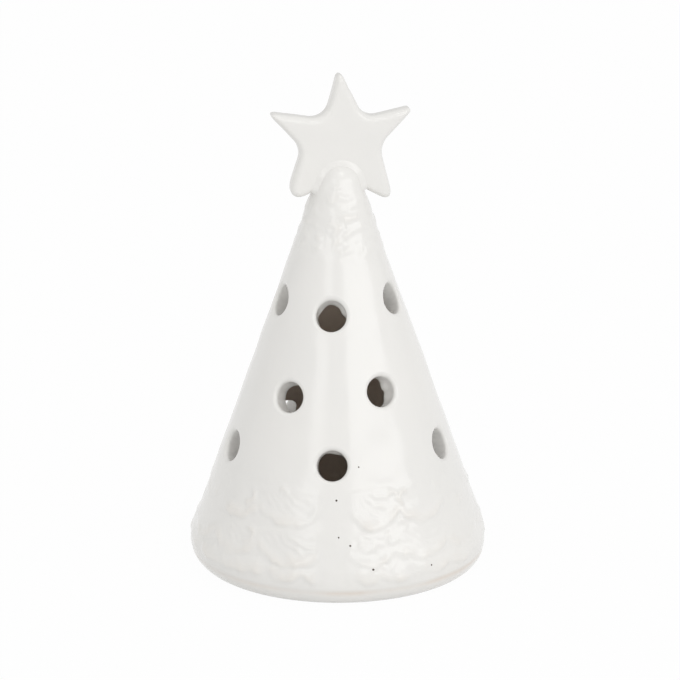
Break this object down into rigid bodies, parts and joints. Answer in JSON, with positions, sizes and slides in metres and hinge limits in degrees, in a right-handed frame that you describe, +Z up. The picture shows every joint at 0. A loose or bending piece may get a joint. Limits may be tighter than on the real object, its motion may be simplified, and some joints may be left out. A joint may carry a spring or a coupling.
{
  "type": "pierced ceramic tree tealight cover",
  "caption": "White glazed conical tree, hollow and open at the foot, with punched round holes and a star on its tip, to stand over a tealight.",
  "frame": {"origin": "centre of the foot ring, on the surface that the tree stands on", "axes": "+Z up along the axis of the cone, -Y towards the front of the tree, where the star's face looks"},
  "size_m": [0.0902, 0.0902, 0.1552],
  "materials": {
    "white_glaze": "gloss white tin glaze over white earthenware",
    "bare_biscuit": "matt unglazed clay, seen inside the cone and on the foot ring"
  },
  "bodies": {
    "root": {"tree_body": "white_glaze", "star": "white_glaze", "luting_slip": "white_glaze"}
  },
  "joints": []
}
